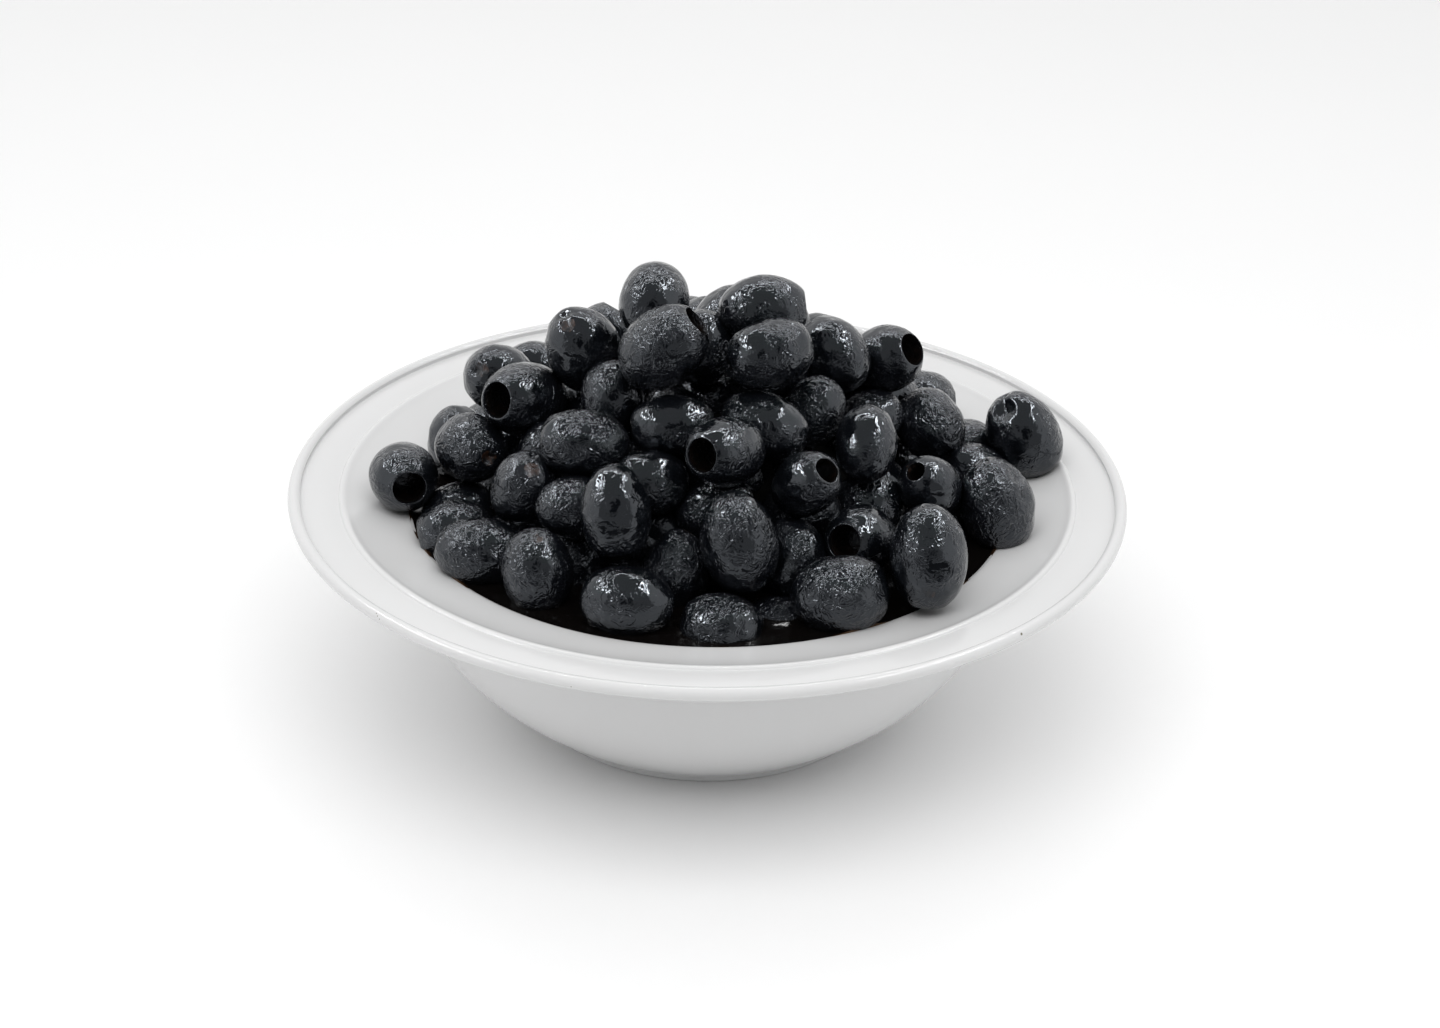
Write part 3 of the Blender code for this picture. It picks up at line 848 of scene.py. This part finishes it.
# %% [markdown]
# Here and there the skin is pinched, or torn so that brown flesh shows. Each such place is where
# the photograph has it, and a ray from the viewer finds the skin there. The points round it are
# drawn in, and painted as torn.

# %% Pinched and torn skin
# Millimetres: right of and above the middle of the rim as the viewer sees them, how wide, and how
# deep the skin is drawn in. bare: how much of it is torn.
Tear = namedtuple("Tear", "across up width depth bare")
TEARS = (
    Tear(-36.5, 39.0, 5.5, 0.8, 1.0),
    Tear(-58.8, 27.4, 5.5, 0.6, 1.0),
    Tear(-57.0, 4.4, 6.0, 0.7, 1.0),
    Tear(-45.6, 1.2, 5.5, 0.6, 1.0),
    Tear(-44.5, -16.0, 5.0, 1.1, 0.6),
    Tear(52.8, 2.0, 3.5, 0.4, 1.0),
    Tear(57.6, -31.0, 4.0, 0.4, 1.0),
    Tear(76.6, 17.0, 8.0, 2.4, 0.3),
    Tear(80.2, 0.2, 6.5, 1.4, 0.2),
    Tear(82.2, -5.5, 5.0, 1.0, 0.0),
)


def skin_under(pieces, across, up):
    """The piece and the place that the viewer sees there."""
    right, above, towards = view_axes()
    eye = rim_middle + towards * VIEW_DISTANCE
    sight = (rim_middle + (right * across + above * up) * MM - eye).normalized()
    hits = []
    for piece in pieces:
        found, place, _, _ = piece.ray_cast(eye, sight)
        if found:
            hits.append(((place - eye).length, piece, place))
    return min(hits, key=lambda hit: hit[0])[1:]


def tear_skin(tear):
    piece, middle = skin_under(outer.values(), tear.across, tear.up)
    _, _, towards = view_axes()
    torn = piece.data.attributes["torn"].data
    for number, point in enumerate(piece.data.vertices):
        share = 1 - 2 * (point.co - middle).length / (tear.width * MM)
        if share > 0 and point.normal.dot(towards) > 0:
            torn[number].value = max(torn[number].value, tear.bare * min(1, 2 * share))
            point.co -= point.normal * share * tear.depth * MM
    return middle


for tear in TEARS:
    print("pinched at", [round(side / MM, 1) for side in tear_skin(tear)])

# %% Finish the olive meshes
for piece in [*outer.values(), inner]:
    only(piece)
    bpy.ops.object.shade_smooth()
for template in templates.values():
    bpy.data.objects.remove(template)
print(sum(count_triangles(piece) for piece in [*outer.values(), inner]), "triangles of skin")

# %% [markdown]
# ## The heart of the heap
#
# Light that slips between the two layers is swallowed deeper in. A dark mound stands there as
# painted shade, so that no gap lets the eye through to the back of the dish.

# %% The heart
HEART = ((0, 22), (12, 20), (24, 11), (36, 1), (48, -9), (60, -16))
HEART_SIDES = 48

heart_outline = [(radius * MM, height * MM) for radius, height in HEART]
heart_outline.append((0, HEART[-1][1] * MM))
heart = turn_on_lathe("heap_heart", heart_outline, HEART_SIDES)

# %% [markdown]
# ## The brine
#
# The brine is nearly black and mirror smooth. Where it meets the dish and the olives it climbs
# a little, and that thin bright curve is what tells the eye that it is wet. The surface is
# turned with close rings, and a weight that grows towards the olives lifts it there.

# %% Turn the brine
BRINE_DEPTH = 7.3 * MM
INTO_WALL = 0.35 * MM
CLIMB = 0.9 * MM
CLIMB_REACH = 2.2 * MM
OLIVE_CLIMB = 0.8 * MM
RING_STEP = 0.9 * MM
BRINE_SIDES = 224


def brine_outline():
    """From the axis across the surface, up the shoulder, and down just inside the wall."""
    radii, heights = zip(*shoulder(24))
    level, top = -BRINE_DEPTH, -BRINE_DEPTH + CLIMB
    at_level = float(np.interp(level, heights, radii))
    at_top = float(np.interp(top, heights, radii))
    count = round(at_level / RING_STEP)
    flat = [(at_level * i / count, level) for i in range(count - 1)]
    climb = bend(flat[-1], (at_level, level), (at_top, top), 6)
    wet = [(radius + INTO_WALL, height - INTO_WALL) for radius, height in shoulder(6)[:0:-1]]
    wet = [point for point in wet if point[1] < top - INTO_WALL]
    wall = [(radius + INTO_WALL, height) for radius, height in well_wall(8)[:-1]]
    floor = (WELL_RADIUS - WELL_NARROWING, -WELL_FLOOR - INTO_WALL)
    return flat + climb[1:] + wet + wall + [floor, (0, floor[1])]


brine = turn_on_lathe("brine_pool", brine_outline(), BRINE_SIDES)

# %% Let it climb the olives
def climb_near(piece, target):
    """Lifts the surface where it comes close to the target."""
    group = piece.vertex_groups.new(name="near")
    group.add(range(len(piece.data.vertices)), 1.0, "REPLACE")
    apply_modifier(
        piece,
        "VERTEX_WEIGHT_PROXIMITY",
        vertex_group="near",
        target=target,
        proximity_mode="GEOMETRY",
        proximity_geometry={"FACE"},
        min_dist=CLIMB_REACH,
        max_dist=0,
        falloff_type="SHARP",
    )
    settings = {"vertex_group": "near", "direction": "Z"}
    apply_modifier(piece, "DISPLACE", strength=OLIVE_CLIMB, mid_level=0, **settings)
    piece.vertex_groups.clear()


for piece in outer.values():
    climb_near(brine, piece)
print(brine.name, count_triangles(brine), "triangles")

# %% [markdown]
# ## Finishes
#
# A finish is a tree of nodes. To keep its sums readable, a small class wraps a socket, so that
# Python's own signs add the Math nodes, and one method adds every other kind of node.

# %% Values that can be added and multiplied
def signs(operation):
    """A sign that adds a Math node, and its reflected form."""
    def forward(self, other):
        return self.math(operation, self, other)

    def reflected(self, other):
        return self.math(operation, other, self)

    return forward, reflected


class Value:
    """A number or a colour that varies over a surface or the sky: one output in a tree."""

    def __init__(self, nodes, socket):
        self.nodes = nodes
        self.socket = socket

    def math(self, operation, first, second=0, clamp=False):
        settings = {"operation": operation, "use_clamp": clamp}
        return self.nodes.node("ShaderNodeMath", settings, {0: first, 1: second})

    __add__, __radd__ = signs("ADD")
    __sub__, __rsub__ = signs("SUBTRACT")
    __mul__, __rmul__ = signs("MULTIPLY")
    __truediv__, __rtruediv__ = signs("DIVIDE")
    __pow__, __rpow__ = signs("POWER")

    def __abs__(self):
        return self.math("ABSOLUTE", self)

    def clamped(self):
        return self.math("ADD", self, clamp=True)


# %% A tree of nodes
class Nodes:
    """A tree to which nodes are added, each by what it is, how it is set and what it is fed."""

    def __init__(self, tree):
        self.tree = tree

    def node(self, kind, settings, values, output=0):
        """Adds a node: its settings first, then the values or links of its sockets."""
        made = self.tree.nodes.new(kind)
        for name, value in settings.items():
            if name == "stops":
                self.set_stops(made.color_ramp, value)
            else:
                setattr(made, name, value)
        for name, value in values.items():
            self.put(value, made.inputs[name])
        return Value(self, made.outputs[output])

    def put(self, value, socket):
        if isinstance(value, Value):
            self.tree.links.new(value.socket, socket)
        else:
            socket.default_value = value

    @staticmethod
    def set_stops(ramp, stops):
        ramp.elements[0].position, ramp.elements[1].position = stops[0][0], stops[-1][0]
        for position, _ in stops[1:-1]:
            ramp.elements.new(position)
        for element, (_, level) in zip(ramp.elements, stops):
            element.color = grey(level)

    def noise(self, where, size, detail=2.0, roughness=0.5, distortion=0.0):
        """Noise whose waves are about size across, in metres."""
        values = {"Vector": where, "Scale": 1 / size, "Detail": detail}
        values.update(Roughness=roughness, Distortion=distortion)
        return self.node("ShaderNodeTexNoise", {}, values, "Fac")

    def ramp(self, value, *stops):
        """Reads the value off a curve through (position, level) stops."""
        return self.node("ShaderNodeValToRGB", {"stops": stops}, {"Fac": value})

    def part(self, where, side):
        """One of a place's three numbers, X, Y or Z."""
        return self.node("ShaderNodeSeparateXYZ", {}, {"Vector": where}, side)


def grey(level):
    return (level, level, level, 1)


# %% A finish
# Where a node that mixes colours has its two colours and its result
MIX_FIRST, MIX_SECOND, MIX_RESULT = 6, 7, 2


class Finish(Nodes):
    """A material with one Principled shader, which is fed numbers, colours and varying values."""

    def __init__(self, name, **constants):
        self.material = bpy.data.materials.new(name)
        self.material.use_nodes = True
        super().__init__(self.material.node_tree)
        self.feed(**constants)

    def feed(self, **values):
        shader = self.tree.nodes["Principled BSDF"]
        for name, value in values.items():
            self.put(value, shader.inputs[name.replace("_", " ")])

    def place(self):
        return self.node("ShaderNodeTexCoord", {}, {}, "Object")

    def attribute(self, name):
        return self.node("ShaderNodeAttribute", {"attribute_name": name}, {}, "Fac")

    def mix(self, factor, first, second):
        colours = {0: factor, MIX_FIRST: first, MIX_SECOND: second}
        return self.node("ShaderNodeMix", {"data_type": "RGBA"}, colours, MIX_RESULT)

    def bump(self, height, distance):
        values = {"Height": height, "Distance": distance, "Strength": 1}
        return self.node("ShaderNodeBump", {}, values)


# %% [markdown]
# ### White glaze
#
# The glaze is a clean, slightly cool white. Up close it is not perfectly even: it waves a
# little, like the skin of an orange. A few specks lie in it: a dark dot on the lip, a short
# curved mark like a hair, and a faint dot under the lip. Each darkens what is near its middle,
# and a ray from the viewer finds that middle.

# %% Specks in the glaze
# Millimetres: right of and above the middle of the rim as the viewer sees them, and how wide
Speck = namedtuple("Speck", "across up width")
SPECKS = (
    Speck(81.4, -41.4, 0.7),
    Speck(-86.1, -36.0, 0.3),
    Speck(-85.8, -36.7, 0.3),
    Speck(-85.3, -37.5, 0.3),
    Speck(-35.6, -55.1, 0.3),
)

specks = [(skin_under([dish], dot.across, dot.up)[1], dot.width * MM) for dot in SPECKS]
for middle, width in specks:
    print("speck at", [round(side / MM, 1) for side in middle], "mm")

# %% White glaze
GLAZE = ((0.655, 0.655, 0.655, 1), (0.675, 0.677, 0.680, 1))
GLAZE_PATCH = 30 * MM
GLAZE_SHEEN = 12 * MM
GLAZE_WAVE = 7 * MM
GLAZE_WAVE_DEPTH = 0.03 * MM
SPECK_COLOUR = (0.13, 0.12, 0.08, 1)
SPECK_EDGE = ((0.3, 1), (0.6, 0))


def white_glaze():
    finish = Finish("white glaze", Specular_IOR_Level=0.32, Coat_Weight=0.15, Coat_Roughness=0.1)
    where = finish.place()
    colour = finish.mix(finish.noise(where, GLAZE_PATCH, 3), *GLAZE)
    for middle, width in specks:
        points = {0: where, 1: tuple(middle)}
        away = finish.node("ShaderNodeVectorMath", {"operation": "DISTANCE"}, points, "Value")
        speck = finish.ramp(away / width, *SPECK_EDGE)
        colour = finish.mix(speck, colour, SPECK_COLOUR)
    finish.feed(
        Base_Color=colour,
        Roughness=0.17 + 0.08 * finish.noise(where, GLAZE_SHEEN, 4),
        Normal=finish.bump(finish.noise(where, GLAZE_WAVE, 2), GLAZE_WAVE_DEPTH),
    )
    return finish.material


dish.data.materials.append(white_glaze())
print("finish:", dish.data.materials[0].name)

# %% [markdown]
# ### Wet olive skin
#
# The skin is almost black, so what shows is nearly all reflection. A film of brine makes it
# glossy. Wide soft folds bend the reflections, and fine ridges, made by turning the lower half
# of a noise upwards, crinkle the skin like foil in patches. Where the skin is cut or torn the
# flesh is duller, with brown crumbs.

# %% Olive skin
SKIN = ((0.0030, 0.0036, 0.0048, 1), (0.0050, 0.0056, 0.0075, 1))
SKIN_TINT = (0.86, 0.92, 1.0, 1)
FLESH = ((0.0028, 0.0022, 0.0020, 1), (0.034, 0.016, 0.009, 1))
PATCH_SIZE = 8 * MM
PATCH_EDGE = ((0.50, 0), (0.70, 1))
SOFT_FOLD_SIZE = 4.6 * MM
RIDGE_SIZE = 2.5 * MM
CRUMB_SIZE = 1.6 * MM
CRUMB_EDGE = ((0.46, 0), (0.62, 1))
TORN_EDGE = ((0.50, 0), (0.66, 1))


def olive_skin(kind_name, crinkle):
    finish = Finish("wet olive skin " + kind_name, Specular_IOR_Level=0.74, Specular_Tint=SKIN_TINT)
    where = finish.place()
    own, cut, torn = (finish.attribute(name) for name in ("own", "cut", "torn"))
    patch = finish.ramp(finish.noise(where, PATCH_SIZE, 1) + 0.2 * own, *PATCH_EDGE)
    ridges = abs(finish.noise(where, RIDGE_SIZE, 2.2, 0.55, 0.9) - 0.5)
    fold = finish.noise(where, SOFT_FOLD_SIZE, 1)
    height = 0.56 * fold + ridges * (0.18 + 1.10 * patch) * crinkle
    crumbs = finish.noise(where, CRUMB_SIZE, 3)
    bare = finish.ramp(torn + 1.2 * (crumbs - 0.5), *TORN_EDGE)
    brown = finish.ramp(crumbs, *CRUMB_EDGE) * (bare + 0.15 * cut)
    colour = finish.mix((bare + cut).clamped(), finish.mix(patch, *SKIN), finish.mix(brown, *FLESH))
    finish.feed(
        Base_Color=colour,
        Roughness=0.045 + 0.05 * patch + 0.25 * (bare + cut),
        Normal=finish.bump(height, 1 * MM),
    )
    return finish.material


def dress(piece, finish):
    piece.data.materials.clear()
    piece.data.materials.append(finish)
    print(piece.name, "wears", finish.name)


for name, piece in outer.items():
    dress(piece, olive_skin(name, KINDS[name].crinkle))
dress(inner, olive_skin(BURIED, BURIED_KIND.crinkle))

# %% [markdown]
# ### Brine and shadow
#
# The brine is the colour of strong coffee, and only its thin edge on the white wall lets enough
# light through to show brown. The heart of the heap is painted shade: a plain dark mound.

# %% Brine
DEEP_BRINE = (0.0035, 0.0028, 0.0026, 1)
THIN_BRINE = (0.10, 0.050, 0.022, 1)
# Where the brine starts to thin out, and over how wide a ring the ramp is read
THIN_FROM = 76 * MM
THIN_OVER = 2.5 * MM
THIN_EDGE = ((0.2, 0), (0.9, 1))
SHADOW_PATCH = 4 * MM


def dark_brine():
    finish = Finish("dark brine", Roughness=0.10, Specular_IOR_Level=0.25)
    where = finish.place()
    aside, depth = finish.part(where, "X"), finish.part(where, "Y")
    radius = (aside * aside + depth * depth) ** 0.5
    thin = finish.ramp((radius - THIN_FROM) / THIN_OVER, *THIN_EDGE)
    finish.feed(Base_Color=finish.mix(thin, DEEP_BRINE, THIN_BRINE))
    return finish.material


def plain_finish(name, patch, darker, lighter, **constants):
    """A finish that only varies a little between two greys."""
    finish = Finish(name, **constants)
    patches = finish.noise(finish.place(), patch)
    finish.feed(Base_Color=finish.mix(patches, grey(darker), grey(lighter)))
    return finish.material


dress(brine, dark_brine())
unlit = {"Roughness": 0.9, "Specular_IOR_Level": 0}
# Painted shade: the heart's near-black, unglossy colour stands for the shadow deep in the heap
dress(heart, plain_finish("deep shadow", SHADOW_PATCH, 0.002, 0.008, **unlit))

# %% [markdown]
# ## What stands for what
#
# Each piece rides on the dish's body, and the frame's part that it stands for is hidden.

# %% Tie the pieces to the frame
def tie(piece, node):
    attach(piece, "root")
    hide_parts(node)


tie(dish, "dish")
tie(brine, "brine")
for piece in [*outer.values(), inner, heart]:
    tie(piece, "olives")
print(len(outer) + 4, "pieces ride on the dish's body")

# %% [markdown]
# ## Table and light
#
# The table is a plain pale sheet. The light is that of a photographer's white tent: soft white
# walls all round, an opening at the front, and slim lamps over the dish and at its sides, whose
# reflections are the bright lines on the skins.

# %% The table
TABLE_SIZE = 8.0


def lay_sheet(name, middle, width, depth):
    """A flat sheet, level, with its middle there."""
    bpy.ops.mesh.primitive_plane_add(size=1, location=middle)
    sheet = bpy.context.object
    sheet.name = name
    start_editing(sheet)
    pick_all()
    bpy.ops.transform.resize(value=(width, depth, 1))
    stop_editing()
    return sheet


table = lay_sheet("table", (0, 0, 0), TABLE_SIZE, TABLE_SIZE)
pale = plain_finish("pale table", 0.2, 0.90, 0.92, Roughness=0.5, Specular_IOR_Level=0.3)
dress(table, pale)

# %% [markdown]
# A dark card lies on the table in front of the dish. It shows in mirror reflections alone, and
# makes the lower halves of the olives as black as they are in the photograph.

# %% The dark card
CARD_MIDDLE = (0, -0.895, 0.001)
CARD_SIZE = (1.0, 1.41)

card = lay_sheet("dark_card", CARD_MIDDLE, *CARD_SIZE)
dress(card, plain_finish("dark card", 0.1, 0.03, 0.05, **unlit))
for sort in ("camera", "diffuse", "transmission", "volume_scatter", "shadow"):
    setattr(card, "visible_" + sort, False)

# %% [markdown]
# The tent's walls are drawn on the sky. An opening in front, a slot overhead and the camera's
# own dark shape in the opening are masks with soft edges, worked out from the direction.

# %% The tent's walls
WALL_LIGHT = 1.0
OPENING_LIGHT = 0.38
CAMERA_LIGHT = 0.02
OPENING_HALF = 1.19
OPENING_EDGE = 0.04
ROOF_BACK = 0.5
ROOF_HALF = 0.73
ROOF_OFFSET = 0.11
ROOF_EDGE = 0.03
CAMERA_HALF = (0.30, 0.26)
CAMERA_EDGE = 0.3
FACING_EDGE = 0.1


def soft_step(sky, value, low, high):
    """0 where the value is below low, 1 above high, and smooth between."""
    limits = {"Value": value, "From Min": low, "From Max": high}
    return sky.node("ShaderNodeMapRange", {"interpolation_type": "SMOOTHSTEP"}, limits)


def camera_shape(sky, aside, depth, height):
    """1 in the direction of the camera, and 0 elsewhere."""
    _, _, towards = view_axes()
    beside = aside / CAMERA_HALF[0]
    above = abs(height - towards.z) / CAMERA_HALF[1]
    ellipse = soft_step(sky, 1 - (beside ** 2 + above ** 2), 0, CAMERA_EDGE)
    return ellipse * soft_step(sky, depth * -1, 0, FACING_EDGE)


def tent_light(sky):
    """How bright the tent is in each direction."""
    where = sky.node("ShaderNodeTexCoord", {}, {}, "Generated")
    across, depth, height = (sky.part(where, side) for side in "XYZ")
    aside = abs(across)
    opening = depth * -OPENING_HALF - aside
    in_front = soft_step(sky, opening, -OPENING_EDGE, OPENING_EDGE)
    behind = soft_step(sky, height * ROOF_BACK - depth, -ROOF_EDGE, ROOF_EDGE)
    narrow = height * ROOF_HALF - abs(across + height * ROOF_OFFSET)
    overhead = across.math("MINIMUM", behind, soft_step(sky, narrow, -ROOF_EDGE, ROOF_EDGE))
    opened = across.math("MAXIMUM", in_front, overhead)
    wall = opened * (OPENING_LIGHT - WALL_LIGHT) + WALL_LIGHT
    return wall * (1 + CAMERA_LIGHT - camera_shape(sky, aside, depth, height))


def add_world():
    world = bpy.data.worlds.new("tent")
    bpy.context.scene.world = world
    world.use_nodes = True
    sky = Nodes(world.node_tree)
    background = sky.tree.nodes["Background"]
    sky.put((1, 1, 1, 1), background.inputs["Color"])
    sky.put(tent_light(sky), background.inputs["Strength"])
    return world


print("sky:", len(add_world().node_tree.nodes), "nodes")

# %% The lamps
# Each lamp: its middle, which way its long side runs, its width and length in metres, and how
# bright its face is beside the tent's walls. A fill lights the white things but isn't mirrored.
Lamp = namedtuple("Lamp", "name place along size brightness mirrored")
LAMPS = (
    Lamp("strip_left", (-0.60, 0.0, 0.68), (0, 1, 0.1), (0.04, 0.75), 34, True),
    Lamp("strip_right", (0.42, 0.02, 0.74), (0, 1, 0.05), (0.036, 0.75), 34, True),
    Lamp("strip_back", (-0.06, 0.40, 0.80), (1, 0, 0), (0.026, 0.80), 28, True),
    Lamp("fill_front", (-0.05, -0.65, 1.2), (1, 0, 0), (0.8, 1.4), 3.0, False),
    Lamp("fill_top", (-0.10, 0.25, 1.2), (1, 0, 0), (1.0, 1.0), 0.7, False),
)


def add_lamp(lamp):
    data = bpy.data.lights.new(lamp.name, "AREA")
    data.shape = "RECTANGLE"
    data.size, data.size_y = lamp.size
    data.energy = lamp.brightness * math.pi * data.size * data.size_y
    obj = bpy.data.objects.new(lamp.name, data)
    back = (Vector(lamp.place) - rim_middle).normalized()
    side = Vector(lamp.along).cross(back).normalized()
    turn = Matrix((side, back.cross(side), back)).transposed().to_4x4()
    obj.matrix_world = Matrix.Translation(lamp.place) @ turn
    obj.visible_glossy = lamp.mirrored
    obj.visible_diffuse = not lamp.mirrored
    bpy.context.scene.collection.objects.link(obj)


for lamp in LAMPS:
    add_lamp(lamp)
bpy.context.scene.view_settings.view_transform = "Standard"
print(len(LAMPS), "lamps")
